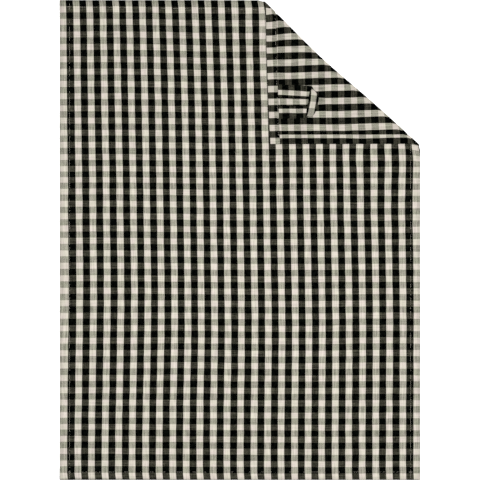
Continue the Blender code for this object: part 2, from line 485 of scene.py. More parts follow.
cloth = bmesh.new()
bmesh.ops.create_grid(cloth, x_segments=len(columns) - 1, y_segments=len(rows) - 1, size=0.5)
over_side = cloth.verts.layers.float.new("over_side")
over_end = cloth.verts.layers.float.new("over_end")
side_step = cloth.verts.layers.float.new("side_step")
end_step = cloth.verts.layers.float.new("end_step")
for vertex in cloth.verts:
    column = columns[round((vertex.co.x + 0.5) * (len(columns) - 1))]
    row = rows[round((vertex.co.y + 0.5) * (len(rows) - 1))]
    plan, depth, vertex[over_side], vertex[over_end] = fold_hems(column, row)
    vertex[side_step] = column[1] if column[0] else 0.0
    vertex[end_step] = row[1] if row[0] else 0.0
    vertex.co = (plan.x, plan.y, depth)
spare = [face for face in cloth.faces if clipped(face, side_step, end_step)]
bmesh.ops.delete(cloth, geom=spare, context="FACES")
turn_lines = [TURN * k / TURN_STEPS for k in range(TURN_STEPS + 1)]
for distance in [-EASE, *turn_lines, TURN + EASE]:
    on_line = (CREASE_TOP + distance * PAST).to_3d()
    everything = [*cloth.verts, *cloth.edges, *cloth.faces]
    bmesh.ops.bisect_plane(
        cloth, geom=everything, dist=1e-7, plane_co=on_line, plane_no=PAST.to_3d()
    )
print("the cloth has", len(cloth.faces), "faces")

# %% [markdown]
# ## The check, as it was woven
#
# On a real towel these are not quite the distances on the table, because the cloth was pulled
# about when it was woven, hemmed and smoothed out. The pattern therefore has its own map: distance
# plus a soft drift, plus a few tugs, each a place where a hand or a seam pulled the check out of
# true. The turned corner shows the back, where the same threads run on.

# %% Tugs on the check
# x and y of a tug, how far it reaches, in m, and how far it pulls across and down, in mm
FRONT_TUGS = (
    (0.050, -0.125, 0.10, -1.5, 0.8),
    (-0.175, 0.025, 0.14, -1.0, 1.5),
    (0.200, -0.125, 0.08, -0.6, 2.0),
    (0.150, 0.075, 0.10, 0.4, 1.8),
    (-0.075, -0.150, 0.06, -0.7, 1.2),
    (-0.175, 0.275, 0.08, 0.3, 0.8),
    (-0.025, 0.250, 0.06, -0.3, -0.9),
    (0.175, 0.050, 0.06, 1.0, -1.1),
    (0.033, 0.322, 0.035, -1.1, 0.0),
    (0.155, 0.118, 0.025, 1.4, 0.0),
    (-0.185, 0.085, 0.060, -0.7, 0.2),
    (-0.180, -0.200, 0.060, -0.6, 0.0),
    (0.228, 0.108, 0.035, -1.5, 0.3),
)
FLAP_TUGS = (
    (0.190, 0.190, 0.08, 2.2, 0.9),
    (0.150, 0.160, 0.04, -1.1, 1.1),
    (0.060, 0.230, 0.03, -1.4, 1.2),
    (0.100, 0.150, 0.08, -0.7, 0.3),
    (0.105, 0.270, 0.03, 0.0, -1.2),
)


def tugged(plan, tugs):
    """How far the tugs pull the pattern at a place, across and down."""
    pulled = Vector((0.0, 0.0))
    for x, y, reach, across, down in tugs:
        away = (plan - Vector((x, y))).length
        pulled += MM * bell(away, reach) * Vector((across, down))
    return pulled


print("a seam or a hand tugs at", len(FRONT_TUGS) + len(FLAP_TUGS), "places")

# %% How the stripes along the towel have drifted
WARP_REPEAT = 0.0188
WARP_START = -0.00606
CHECK_TOP = HALF_LENGTH + 0.0006
FAN = 0.00806  # they fan out from a place at the top edge, further to its right than to its left
FAN_AT = 0.0138
FAN_LEFT = 0.204
FAN_RIGHT = 0.3475
FAN_DOWN = 0.1946
FAN_CURVE = 1.5
FAN_SKEW = 1.5
PINCH = 0.00278  # and they are pinched at a place on the left
PINCH_AT = (-0.160, -0.0834)
PINCH_REACH = (0.118, 0.111)


def warp_drift(x, y):
    """How far the stripes that run along the towel are shifted to its left."""
    down = max((CHECK_TOP - y) / FAN_DOWN, 0.0)
    away = (x - FAN_AT) / FAN_RIGHT
    skew = 0.0
    if x < FAN_AT:
        away = (FAN_AT - x) / FAN_LEFT
        skew = FAN_SKEW * away * down
    fan = math.exp(-(away**2 + down**FAN_CURVE + skew))
    from_pinch_x = (x - PINCH_AT[0]) / PINCH_REACH[0]
    from_pinch_y = (y - PINCH_AT[1]) / PINCH_REACH[1]
    pinch = math.exp(-(from_pinch_x**2) - from_pinch_y**2)
    return WARP_START + FAN * fan - PINCH * pinch


# %% How the stripes across it have drifted
WEFT_REPEAT = 0.0170
WEFT_START = 0.00155
TOP_SHIFT = 0.00167
TOP_SHIFT_REACH = 0.0487
SLACK = 0.00278  # slack cloth below the turned corner: where it starts, grows and fades, down
SLACK_FROM = 0.222
SLACK_GROWS = 0.042
SLACK_FADES = 0.306
LOW_SHIFT = 0.00083
LOW_SHIFT_FROM = 0.570
LOW_SHIFT_GROWS = 0.042
WAVE = 0.0007
HALF_WAVE = 0.3614


def weft_drift(x, y):
    """How far the stripes that run across the towel are shifted up."""
    down = CHECK_TOP - y
    top = TOP_SHIFT * bell(down, TOP_SHIFT_REACH)
    past_start = down - SLACK_FROM
    slack = smooth(past_start / SLACK_GROWS)
    slack *= 1.0 - smooth((past_start - SLACK_GROWS) / SLACK_FADES)
    low = LOW_SHIFT * smooth((down - LOW_SHIFT_FROM) / LOW_SHIFT_GROWS)
    wave = WAVE * math.cos(math.pi * (x + HALF_WIDTH) / HALF_WAVE)
    return WEFT_START + top + SLACK * slack + low + wave


# %% The pattern on the front
EDGE_LIGHT = 0.0038  # how near the middle of its light stripe a side edge lies, at most
EDGE_REACH = 0.0085
EDGE_STOP = 0.02125  # past this the edge's shift is too small to count
BOTTOM_LEAN = 0.0009  # how far the stripes lean at the bottom edge, and less at its right end
BOTTOM_LEAN_LOST = 0.0006
LEAN_LOST_FROM = 0.02
LEAN_LOST_OVER = 0.10
TOP_LEAN = 0.0006
LEAN_REACH = 0.0062


def edge_shift(side, y):
    """How far the pattern is eased so that a light stripe runs right up to a side edge."""
    edge = Vector((side * HALF_WIDTH, y))
    across = edge.x + HALF_WIDTH + warp_drift(edge.x, y) + tugged(edge, FRONT_TUGS).x
    off = across - round(across / WARP_REPEAT) * WARP_REPEAT
    return -math.copysign(max(abs(off) - EDGE_LIGHT, 0.0), off)


def end_lean(plan):
    """How far the stripes lean to the right beside the bottom edge, and to the left at the top."""
    lost = smooth((plan.x - LEAN_LOST_FROM) / LEAN_LOST_OVER)
    at_bottom = BOTTOM_LEAN - BOTTOM_LEAN_LOST * lost
    lean = at_bottom * bell(HALF_LENGTH + plan.y, LEAN_REACH)
    return lean - TOP_LEAN * bell(HALF_LENGTH - plan.y, LEAN_REACH)


def front_pattern(plan):
    """Distance across and down the cloth, for a place on the front."""
    across = plan.x + HALF_WIDTH + warp_drift(plan.x, plan.y)
    from_side = HALF_WIDTH - abs(plan.x)
    if from_side < EDGE_STOP:
        side = math.copysign(1.0, plan.x)
        across += edge_shift(side, plan.y) * bell(from_side, EDGE_REACH)
    across -= end_lean(plan)
    down = HALF_LENGTH - plan.y + weft_drift(plan.x, plan.y)
    return Vector((across, down)) + tugged(plan, FRONT_TUGS)


middle = front_pattern(Vector((0.0, 0.0)))
print("the middle is", round(middle.x, 3), "m across the check and", round(middle.y, 3), "down")

# %% The pattern on the turned corner
CORNER_ACROSS = 0.4939  # the pattern's distances at the turned corner, and their paces from there
CORNER_DOWN = 0.0040
ACROSS_PACE = 1.0354
DOWN_PACE = 0.953
SAG = 0.0032  # the check sags at a place near the crease's top end
SAG_AT = Vector((0.0402, 0.289))
SAG_REACH = 0.025
STRETCH = 0.302  # and past this distance from the top edge it is stretched
STRETCH_FROM = 0.0834


def back_pattern(plan):
    """The same for a place on the turned corner, where across runs down the towel."""
    near = (plan - SAG_AT) / SAG_REACH
    sag = SAG * math.exp(-near.length_squared)
    across = CORNER_ACROSS - ACROSS_PACE * (plan.y + sag - TURNED_CORNER.y)
    slant = (plan.y - TURNED_CORNER.y) / (HALF_LENGTH - TURNED_CORNER.y)
    from_edge = plan.x - TURNED_CORNER.x - slant * (CREASE_TOP.x - TURNED_CORNER.x)
    stretch = STRETCH * max(from_edge - STRETCH_FROM, 0.0) ** 2
    down = CORNER_DOWN + DOWN_PACE * from_edge - stretch
    return Vector((across, down)) + tugged(plan, FLAP_TUGS)


def turned_place(flat):
    """Where the turned corner's cloth lies, carried straight on round the crease."""
    along, past = crease_frame(flat)
    back = past - TURN
    beside = FLAP_REACH * back
    plan = CREASE_TOP + (along + FLAP_SLANT * back) * ALONG - beside * PAST
    return drawn_in(plan, along, beside)


# %% The pattern on the whole cloth
CREASE_BLEND = 0.012


def cloth_pattern(flat):
    """Distance across and down the cloth for any place on the flat towel."""
    along, past = crease_frame(flat)
    if past >= 0:
        return back_pattern(turned_place(flat))
    lain = lay(flat, 0.0).to_2d()
    on_crease = flat - past * PAST
    mend = back_pattern(turned_place(on_crease)) - front_pattern(lay(on_crease, 0.0).to_2d())
    return front_pattern(lain) + mend * bell(past, CREASE_BLEND)


# %% The pattern round the hems
HEM_ACROSS_PACE = 1.035
HEM_DOWN_PACE = 0.945
TOP_CREEP = 0.0019  # how far the top hem's strip has slipped round its outline
SIDE_CREEP = 0.0009
SIDE_CREEP_LOST = 0.0017  # how much less the side hem's strip has slipped beside the crease
CREEP_LOST_TO = 0.035  # from the crease, how far that reaches, and over how much it fades
CREEP_FADES = 0.055
TOP_STRIP_SLIP = 0.0007  # how far the top hem's strip has slipped along the hem
TOP_STRIP_LEAN = 0.0022  # and how far it is twisted beside the crease
LEAN_CURVE = 1.5
LEAN_PIVOT = 0.65  # the share of the strip's depth that stays in place


def side_creep(y):
    """How far the right hem's strip has slipped round its outline."""
    beside_crease = 1.0 - smooth((y - CREASE_SIDE.y - CREEP_LOST_TO) / CREEP_FADES)
    return SIDE_CREEP - SIDE_CREEP_LOST * beside_crease


def strip_slip(beyond, x):
    """How far the top hem's strip has slipped along the hem, more so beside the crease."""
    share = min(max((x - CREASE_TOP.x) / (HALF_WIDTH - CREASE_TOP.x), 0.0), 1.0)
    lean = TOP_STRIP_LEAN * (1.0 - share) ** LEAN_CURVE
    return lean * (beyond / top_hem(x) - LEAN_PIVOT) - TOP_STRIP_SLIP


def hem_pattern(flat, beyond_side, beyond_end):
    """The pattern with the cloth that is turned over the outline."""
    place = flat.copy()
    if beyond_side:
        place.x = math.copysign(HALF_WIDTH, beyond_side)
    if beyond_end:
        place.y = math.copysign(HALF_LENGTH, beyond_end)
    found = cloth_pattern(place)
    found.x += HEM_ACROSS_PACE * beyond_side
    found.y -= HEM_DOWN_PACE * beyond_end
    if beyond_side > 0:
        found.x += side_creep(flat.y) * smooth(beyond_side / PLY)
    if beyond_end > 0:
        found.y -= TOP_CREEP * smooth(beyond_end / PLY)
        found.x += strip_slip(beyond_end, flat.x) * smooth(beyond_end / PLY)
    return found


# %% The cloth's tone
# The turned corner, and the loop that lies on it, are coloured this much darker.
FLAP_TONE = 0.90
# Painted shade: the cloth is coloured darker where it folds down round the towel's outline, away
# from the light.
OUTLINE_SHADE = 0.25  # how much darker the cloth is where it is folded round the towel's outline
SHADE_REACH = 0.0025


def back_share(flat):
    """1 on the turned corner, which is coloured darker, and 0 on the rest."""
    return smooth(crease_frame(flat)[1] / TURN)


def cloth_tone(flat):
    """The cloth's brightness: painted shade at the outline's fold, and less on the turned corner.
    """
    back = back_share(flat)
    from_edge = max(min(HALF_WIDTH - abs(flat.x), HALF_LENGTH - abs(flat.y)), 0.0)
    # painted shade on the outline's fold
    fold_shade = OUTLINE_SHADE * (1.0 - back) * bell(from_edge, SHADE_REACH)
    return (1.0 - fold_shade) * (1.0 + (FLAP_TONE - 1.0) * back)


print("the outline's tone is", round(cloth_tone(Vector((-HALF_WIDTH, 0.0))), 2))

# %% Map the check onto the cloth and lay it
check = cloth.loops.layers.uv.new("check")
tone = cloth.verts.layers.float.new("tone")
for vertex in cloth.verts:
    flat = vertex.co.to_2d()
    depth = vertex.co.z
    found = hem_pattern(flat, vertex[over_side], vertex[over_end])
    vertex[tone] = cloth_tone(flat)
    for loop in vertex.link_loops:
        loop[check].uv = found
    vertex.co = lay(flat, depth)
bmesh.ops.recalc_face_normals(cloth, faces=cloth.faces[:])
print("the laid cloth is", round(max(v.co.z for v in cloth.verts) / MM, 1), "mm high")


# %% Helpers that make an object of a mesh
def new_piece(name, shape, material, node):
    """A smooth object that rides with the towel, and takes a node's place where one is given."""
    for face in shape.faces:
        face.smooth = True
    mesh = bpy.data.meshes.new(name)
    shape.to_mesh(mesh)
    shape.free()
    mesh.materials.append(material)
    piece = bpy.data.objects.new(name, mesh)
    bpy.context.scene.collection.objects.link(piece)
    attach(piece, "root")
    if node:
        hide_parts(node)
    return piece


def thicken(piece, thickness):
    """Gives a sheet its thickness, half of it on either side."""
    solidify = piece.modifiers.new("thickness", "SOLIDIFY")
    solidify.thickness = thickness
    solidify.offset = 0.0


# %% [markdown]
# ## The cotton
#
# At arm's length gingham has four tones: light yarn over light, light over dark, dark over light,
# and dark over dark. The yarns that run along the towel lie closer, so they show more, and the two
# mixed squares differ. Close up, each square is a small check of crossing yarns. The material works
# that out from the pattern's two distances: a cosine for each set of stripes, and the product of
# two sines for which yarn lies on top. Noise stretched along the yarns makes some thicker or paler,
# and the dark squares are worn in places. Each vertex also has a tone, which paints shade where the
# cloth is folded round the outline and along the loop's folded edge, and makes the turned corner
# darker.

# %% Colours of the yarns where they cross
CREAM = (0.587, 0.541, 0.478)
CREAM_UNDER = (0.519, 0.475, 0.414)
GREY_TOP = (0.385, 0.373, 0.304)
GREY_UNDER = (0.145, 0.141, 0.112)
CHARCOAL_TOP = (0.0082, 0.0082, 0.0060)
CHARCOAL_UNDER = (0.072, 0.069, 0.050)
BLACK = (0.0001, 0.0002, 0.0001)
WORN_BLACK = (0.0022, 0.0029, 0.0022)
WORN_CHARCOAL = (0.80, 0.80, 0.80)  # how charcoal squares vary
FRESH_CHARCOAL = (1.20, 1.20, 1.20)
WARM_TINT = (0.982, 1.006, 0.962)  # how the dye varies, from a yellower tint to a pinker one
PINK_TINT = (1.018, 0.994, 1.014)
COTTON_ROUGHNESS = 0.9
print("the lightest yarn is", CREAM, "and the darkest", BLACK)


# %% Helpers that wire up a material
def add(tree, kind, **settings):
    """A new node of this kind, with these settings."""
    node = tree.nodes.new("ShaderNode" + kind)
    for name, value in settings.items():
        setattr(node, name, value)
    return node


def plug(tree, value, socket):
    """Joins an output to a socket, or sets the socket to a number or a colour."""
    if isinstance(value, bpy.types.NodeSocket):
        tree.links.new(value, socket)
    elif isinstance(value, tuple) and socket.type == "RGBA":
        socket.default_value = (*value, 1.0)
    else:
        socket.default_value = value


def sum_of(tree, operation, first, second=0.0, third=0.0):
    """The output of a Math node."""
    node = add(tree, "Math", operation=operation)
    for value, socket in zip((first, second, third), node.inputs):
        plug(tree, value, socket)
    return node.outputs[0]


def blend_of(tree, share, low, high, blend_type="MIX"):
    """The output of a colour Mix node."""
    node = add(tree, "Mix", data_type="RGBA", blend_type=blend_type)
    plug(tree, share, node.inputs[0])
    plug(tree, low, node.inputs[6])
    plug(tree, high, node.inputs[7])
    return node.outputs[2]


def between(tree, value, low, high, to_low=0.0, to_high=1.0):
    """value from low to high, turned into a share with soft ends."""
    node = add(tree, "MapRange", interpolation_type="SMOOTHSTEP")
    for number, socket in zip((value, low, high, to_low, to_high), node.inputs):
        plug(tree, number, socket)
    return node.outputs[0]


def noise_of(tree, across, down, width, length, seed, detail=2.0):
    """Noise whose grains are this wide and this long."""
    point = add(tree, "CombineXYZ")
    plug(tree, sum_of(tree, "DIVIDE", across, width), point.inputs[0])
    plug(tree, sum_of(tree, "DIVIDE", down, length), point.inputs[1])
    point.inputs[2].default_value = seed
    grain = add(tree, "TexNoise")
    grain.inputs["Scale"].default_value = 1.0
    grain.inputs["Detail"].default_value = detail
    tree.links.new(point.outputs[0], grain.inputs["Vector"])
    return grain.outputs[0]


def new_matte(name, roughness, shine=0.0):
    """A new material with this roughness and shine, and its shader."""
    material = bpy.data.materials.new(name)
    material.use_nodes = True
    shader = material.node_tree.nodes["Principled BSDF"]
    shader.inputs["Roughness"].default_value = roughness
    shader.inputs["Specular IOR Level"].default_value = shine
    return material, shader


# %% The yarns
YARN = 0.00050  # from one yarn to the next
YARN_COVER = (-0.35, 0.12)  # unevenly about 0, because the yarns along the towel show more
WAVER = 0.0012  # how far a stripe wavers, and how wide and long its wavers are
WAVER_WIDTH = 0.009
WAVER_LENGTH = 0.022
SLUB_WIDTH = 0.0014  # thick places in a yarn
SLUB_LENGTH = 0.028
SLUB_COVER = 2.2
STRIPE_EDGE = (0.030, 0.120)  # the cosines between which dark turns light


def wavering(tree, seed):
    """The piece's own distances across and down the cloth, each with a waver."""
    place = add(tree, "SeparateXYZ")
    tree.links.new(add(tree, "UVMap", uv_map="check").outputs[0], place.inputs[0])
    across, down = place.outputs[0], place.outputs[1]
    waver = noise_of(tree, across, down, WAVER_WIDTH, WAVER_LENGTH, seed, 1.0)
    shift = sum_of(tree, "MULTIPLY_ADD", waver, WAVER, -WAVER / 2)
    across = sum_of(tree, "ADD", across, shift)
    waver = noise_of(tree, across, down, WAVER_LENGTH, WAVER_WIDTH, seed + 4.0, 1.0)
    shift = sum_of(tree, "MULTIPLY_ADD", waver, WAVER, -WAVER / 2)
    return across, sum_of(tree, "ADD", down, shift)


def yarn_on_top(tree, across, down, thicker):
    """1 where the yarn along the towel lies on top and 0 where the other does, and the relief.

    thicker is above 0 where the yarn along the towel is the thicker one, and so shows more.
    """
    wave_across = sum_of(tree, "SINE", sum_of(tree, "MULTIPLY", across, math.pi / YARN))
    wave_down = sum_of(tree, "SINE", sum_of(tree, "MULTIPLY", down, math.pi / YARN))
    crossing = sum_of(tree, "MULTIPLY_ADD", wave_across, wave_down, thicker)
    on_top = between(tree, crossing, *YARN_COVER)
    relief = blend_of(
        tree,
        on_top,
        sum_of(tree, "ABSOLUTE", wave_down),
        sum_of(tree, "ABSOLUTE", wave_across),
    )
    return on_top, relief


def stripe(tree, distance, repeat):
    """1 on the light stripes and 0 on the dark ones."""
    turns = sum_of(tree, "MULTIPLY", distance, math.tau / repeat)
    return between(tree, sum_of(tree, "COSINE", turns), *STRIPE_EDGE)


print("there are", round(WARP_REPEAT / YARN), "yarns in a repeat of the check")

# %% The squares' colours
MOTTLE = (0.35, 0.65)  # the noise between which a mottled colour changes
WIDE_MOTTLE = (0.30, 0.70)
FADING_WIDTH = 0.0030
FADING_LENGTH = 0.0050
DYE_WIDTH = 0.012
DYE_LENGTH = 0.011


def square_colour(tree, across, down, on_top, seed):
    """The colour of the yarn that shows, from where the stripes of the two sets are."""
    warp = stripe(tree, across, WARP_REPEAT)
    weft = stripe(tree, down, WEFT_REPEAT)
    under = blend_of(tree, weft, GREY_UNDER, CREAM_UNDER)
    over = blend_of(tree, weft, GREY_TOP, CREAM)
    light_warp = blend_of(tree, on_top, under, over)
    fading = noise_of(tree, across, down, FADING_WIDTH, FADING_LENGTH, seed + 5.0)
    black = blend_of(tree, between(tree, fading, *MOTTLE), BLACK, WORN_BLACK)
    worn = blend_of(tree, between(tree, fading, *WIDE_MOTTLE), WORN_CHARCOAL, FRESH_CHARCOAL)
    charcoal = blend_of(tree, on_top, CHARCOAL_UNDER, CHARCOAL_TOP)
    charcoal = blend_of(tree, 1.0, charcoal, worn, "MULTIPLY")
    dark_warp = blend_of(tree, weft, black, charcoal)
    colour = blend_of(tree, warp, dark_warp, light_warp)
    dye = noise_of(tree, across, down, DYE_WIDTH, DYE_LENGTH, seed + 3.0, 1.0)
    tint = blend_of(tree, between(tree, dye, *MOTTLE), WARM_TINT, PINK_TINT)
    return blend_of(tree, 1.0, colour, tint, "MULTIPLY")


def raise_relief(tree, height, shader, strength, distance):
    """Bump of this strength and depth on the shader."""
    bump = add(tree, "Bump")
    bump.inputs["Strength"].default_value = strength
    bump.inputs["Distance"].default_value = distance
    tree.links.new(height, bump.inputs["Height"])
    tree.links.new(bump.outputs[0], shader.inputs["Normal"])


print("the check repeats every", WARP_REPEAT / MM, "by", WEFT_REPEAT / MM, "mm")

# %% The woven cotton
STREAKS_FROM = (0.70, 1.30)  # two slubs together, and how dark and how pale they make a yarn
STREAKS_TO = (0.86, 1.14)
WEAVE_STRENGTH = 0.35
WEAVE_DEPTH = 0.00012


def woven_cotton(name, seed):
    """Plain-woven cotton in checks, which reads the piece's own pattern map and tone."""
    cotton, shader = new_matte(name, COTTON_ROUGHNESS)
    tree = cotton.node_tree
    across, down = wavering(tree, seed)
    warp_slub = noise_of(tree, across, down, SLUB_WIDTH, SLUB_LENGTH, seed + 1.0)
    weft_slub = noise_of(tree, across, down, SLUB_LENGTH, SLUB_WIDTH, seed + 2.0)
    thicker = sum_of(tree, "SUBTRACT", warp_slub, weft_slub)
    thicker = sum_of(tree, "MULTIPLY", thicker, SLUB_COVER)
    on_top, relief = yarn_on_top(tree, across, down, thicker)
    colour = square_colour(tree, across, down, on_top, seed)
    slub = sum_of(tree, "ADD", warp_slub, weft_slub)
    streaks = between(tree, slub, *STREAKS_FROM, *STREAKS_TO)
    # The tone attribute carries painted shade at the folded edges, and the turned corner's darker
    # tone.
    tone = add(tree, "Attribute", attribute_name="tone")
    streaks = sum_of(tree, "MULTIPLY", streaks, tone.outputs["Fac"])
    grey = add(tree, "CombineColor")
    for socket in grey.inputs:
        tree.links.new(streaks, socket)
    colour = blend_of(tree, 1.0, colour, grey.outputs[0], "MULTIPLY")
    tree.links.new(colour, shader.inputs["Base Color"])
    raise_relief(tree, relief, shader, WEAVE_STRENGTH, WEAVE_DEPTH)
    return cotton


towel_cotton = woven_cotton("towel_gingham", 0.0)
print("the cotton has", len(towel_cotton.node_tree.nodes), "shader nodes")

# %% The towel's cloth
towel_cloth = new_piece("towel_cloth", cloth, towel_cotton, "towel")
thicken(towel_cloth, SHEET)

# %% [markdown]
# ## The stitches
#
# A machine stitch shows on both faces: a short run of thread that dips into the cloth at either
# end. Each is a stretched ball, sunk in the cloth past its middle. The stitches are made flat, in a
# row along each hem, and laid with `lay`, so those on the turned corner turn over with it.

# %% Sizes of the thread
THREAD = 0.00036
STITCH = 0.0027
STITCH_GAP = 0.0002
SUNK = 0.00023  # how far the thread's middle is under the cloth's face beside the seam's trough
BOTTOM_SUNK = 0.00026
SUNK_CHANGE = 0.00010  # how uneven that is, and how fast it changes from one stitch to the next
SUNK_PACE = 0.81
SUNK_SEED = 5.3
STITCH_WANDER = 0.00008  # how far a stitch strays from its seam
WANDER_PACE = 0.36
WANDER_SEED = 0.3
CORNER_GAP = 0.0025
print("a stitch starts every", STITCH / MM, "mm")

# %% The shape of a stitch
STITCH_SIDES = 6
STITCH_BLUNTNESS = 0.3  # 1 is a plain ball, and less has fuller ends
stitch_shape = bmesh.new()
bmesh.ops.create_uvsphere(
    stitch_shape,
    u_segments=STITCH_SIDES,
    v_segments=STITCH_SIDES,
    radius=1.0,
    matrix=Matrix.Rotation(math.pi / 2, 4, "Y"),
)
for vertex in stitch_shape.verts:
    vertex.co.x = math.copysign(abs(vertex.co.x) ** STITCH_BLUNTNESS, vertex.co.x)
stitch_ball = bpy.data.meshes.new("stitch")
stitch_shape.to_mesh(stitch_ball)
stitch_shape.free()
print("a stitch has", len(stitch_ball.polygons), "faces")


# %% One row of stitches
def add_stitch(shape, start, end, depth):
    """One stitch from start to end on the flat towel, its thread's middle at this depth."""
    middle = (start + end) / 2
    run = (end - start).to_3d()
    turn = run.to_track_quat("X", "Z").to_matrix().to_4x4()
    size = Matrix.Diagonal((run.length / 2, THREAD / 2, THREAD / 2, 1.0))
    stitch = stitch_ball.copy()
    stitch.transform(Matrix.Translation((middle.x, middle.y, depth)) @ turn @ size)
    shape.from_mesh(stitch)
    bpy.data.meshes.remove(stitch)


def hem_back(place):
    """Depth of the back of the hems under the towel's front, also where two of them cross."""
    end = math.copysign(1.0, place.y)
    from_end = HALF_LENGTH - abs(place.y)
    on_end = from_end < end_hem(end, place.x)
    crossed = corner_share(place.x) if on_end else 0.0
    raised = loop_bulge(place.x, from_end) if on_end and end > 0 else 0.0
    return SHEET + 2 * pressed_ply(crossed) * (1.0 + crossed) + raised


def sew_row(name, length, sunk, seam):
    """Both faces of a seam; seam gives the flat place at a distance from the seam's middle.

    Laying a stitch turns it inside out, because depth is counted down, so its faces are reversed.
    The surface that the towel lies on presses the back stitches flat.
    """
    shape = bmesh.new()
    count = round(length / STITCH)
    reach = (STITCH - STITCH_GAP) / 2
    for k in range(2 * count - 1):
        middle = (k + 1 - count) * STITCH / 2
        first = seam(middle - reach)
        last = seam(middle + reach)
        aside = (last - first).orthogonal().normalized()
        aside *= STITCH_WANDER * noise.noise(Vector((k * WANDER_PACE, length, WANDER_SEED)))
        uneven = noise.noise(Vector((k * SUNK_PACE, length, SUNK_SEED)))
        depth = sunk + SUNK_CHANGE * uneven
        if k % 2:
            depth = hem_back((first + last) / 2) - depth
        add_stitch(shape, first + aside, last + aside, depth)
    for vertex in shape.verts:
        vertex.co = lay(vertex.co.to_2d(), vertex.co.z)
        vertex.co.z = max(vertex.co.z, 0.0)
    bmesh.ops.reverse_faces(shape, faces=shape.faces[:])
    return new_piece(name, shape, thread_cotton, None)


# %% The thread
THREAD_COLOUR = (0.560, 0.525, 0.445)
THREAD_DULL = 0.72  # how bright its dullest fibres are beside that
FIBRES = 900.0
FIBRE_STRENGTH = 0.4
FIBRE_DEPTH = 0.00005
THREAD_ROUGHNESS = 0.8
THREAD_SHINE = 0.05


def spun_thread(name):
    """Matte cotton thread, a little uneven in tone along its run."""
    thread, shader = new_matte(name, THREAD_ROUGHNESS, THREAD_SHINE)
    tree = thread.node_tree
    place = add(tree, "TexCoord").outputs["Object"]
    grain = add(tree, "TexNoise")
    grain.inputs["Scale"].default_value = FIBRES
    tree.links.new(place, grain.inputs["Vector"])
    share = between(tree, grain.outputs[0], *WIDE_MOTTLE)
    dull = tuple(channel * THREAD_DULL for channel in THREAD_COLOUR)
    tree.links.new(blend_of(tree, share, dull, THREAD_COLOUR), shader.inputs["Base Color"])
    raise_relief(tree, grain.outputs[0], shader, FIBRE_STRENGTH, FIBRE_DEPTH)
    return thread


thread_cotton = spun_thread("cream_thread")
print("the thread has", len(thread_cotton.node_tree.nodes), "shader nodes")


# %% Sew the four hems
def on_side_seam(side, along):
    """A flat place on the left seam, side -1, or the right one, side 1."""
    return Vector((side * (HALF_WIDTH - side_seam(side)), along))


def on_end_seam(end, along):
    """A flat place on the bottom seam, end -1, or the top one, end 1."""
    return Vector((along, end * (HALF_LENGTH - end_seam(end, along))))


side_run = LENGTH - 2 * CORNER_GAP
end_run = WIDTH - 2 * CORNER_GAP
hem_stitches = [
    sew_row("left_stitches", side_run, SUNK, lambda along: on_side_seam(-1, along)),
    sew_row("right_stitches", side_run, SUNK, lambda along: on_side_seam(1, along)),
    sew_row("bottom_stitches", end_run, BOTTOM_SUNK, lambda along: on_end_seam(-1, along)),
    sew_row("top_stitches", end_run, SUNK, lambda along: on_end_seam(1, along)),
]
bpy.data.meshes.remove(stitch_ball)
print(sum(len(row.data.polygons) for row in hem_stitches), "faces of thread")

# %% [markdown]
# ## The hanging loop
#
# The loop is a tape folded from a strip of the same cloth. Its two legs go in under the hem, and
# where it turns it is folded over on itself, so that a short bar lies across the ends of both legs.
# Each stretch is a ribbon drawn through a few cross-sections and given a rounded edge.

# %% Sections of the loop
TAPE = 0.0009  # the folded tape's thickness
TAPE_CLEAR = 0.00012  # the gap under it where it doesn't rise
TAPE_CELLS = 14
SECTION_STEPS = 6  # mesh lines from one section to the next
DARK_RIM = 0.22  # how much of a light stripe's half already reads as dark, in mm
LIGHT_HALF = 1000 * WARP_REPEAT / 4 - DARK_RIM
# inner x, inner y, outer x, outer y and rise, in mm from the root's middle, and how far from the
# inner edge the light stripe starts and ends
UPPER_SECTIONS = (
    (-5.0, 4.6, -5.0, 24.0, 0.0, 5.2, 11.9),
    (2.0, 4.6, 2.0, 24.0, 0.0, 5.1, 11.8),
    (11.0, 4.4, 11.0, 23.5, 0.1, 4.9, 11.6),
    (22.0, 4.1, 22.0, 23.1, 0.2, 4.6, 11.2),
    (32.0, 3.9, 32.5, 22.7, 0.4, 4.2, 10.8),
    (40.0, 3.7, 41.0, 22.1, 0.7, 3.9, 10.4),
    (44.5, 4.6, 46.2, 21.2, 0.8, 3.6, 9.4),
    (47.5, 6.0, 49.2, 17.0, 0.8, 3.2, 8.0),
)
LOWER_SECTIONS = (
    (-5.0, -5.6, -5.0, -23.6, 0.0, 4.2, 10.0),
    (2.0, -5.6, 2.0, -23.6, 0.0, 4.2, 10.0),
    (11.0, -5.6, 11.0, -23.4, 0.1, 4.2, 10.0),
    (22.0, -5.7, 22.0, -23.1, 0.2, 4.2, 10.0),
    (30.0, -5.7, 30.5, -22.8, 0.3, 4.2, 10.0),
    (36.5, -5.8, 37.4, -22.2, 0.5, 4.1, 9.8),
    (41.0, -6.6, 42.6, -20.6, 0.7, 3.6, 9.0),
    (44.0, -8.0, 45.0, -18.0, 0.7, 3.0, 7.6),
)
# left x, left y, right x, right y and rise, and the light stripe's distances from the left edge
BAR_SECTIONS = (
    (46.2, 17.9, 48.2, 17.6, 0.9, 0.2, 2.4),
    (44.8, 15.8, 50.6, 15.0, 1.5, 1.0, 5.3),
    (43.5, 12.6, 54.1, 11.2, 2.0, 2.2, 9.4),
    (42.6, 8.0, 55.8, 7.0, 2.2, 2.7, 10.4),
    (42.0, 0.4, 55.4, 0.0, 2.2, 2.7, 10.0),
    (40.7, -5.6, 54.2, -6.0, 2.1, 2.7, 10.2),
    (39.4, -11.2, 52.4, -11.8, 1.8, 2.8, 10.6),
    (38.4, -17.0, 48.8, -18.0, 1.4, 2.5, 10.7),
    (38.2, -20.0, 44.6, -20.8, 0.9, 1.7, 6.8),
)
print("the bar is drawn through", len(BAR_SECTIONS), "sections")


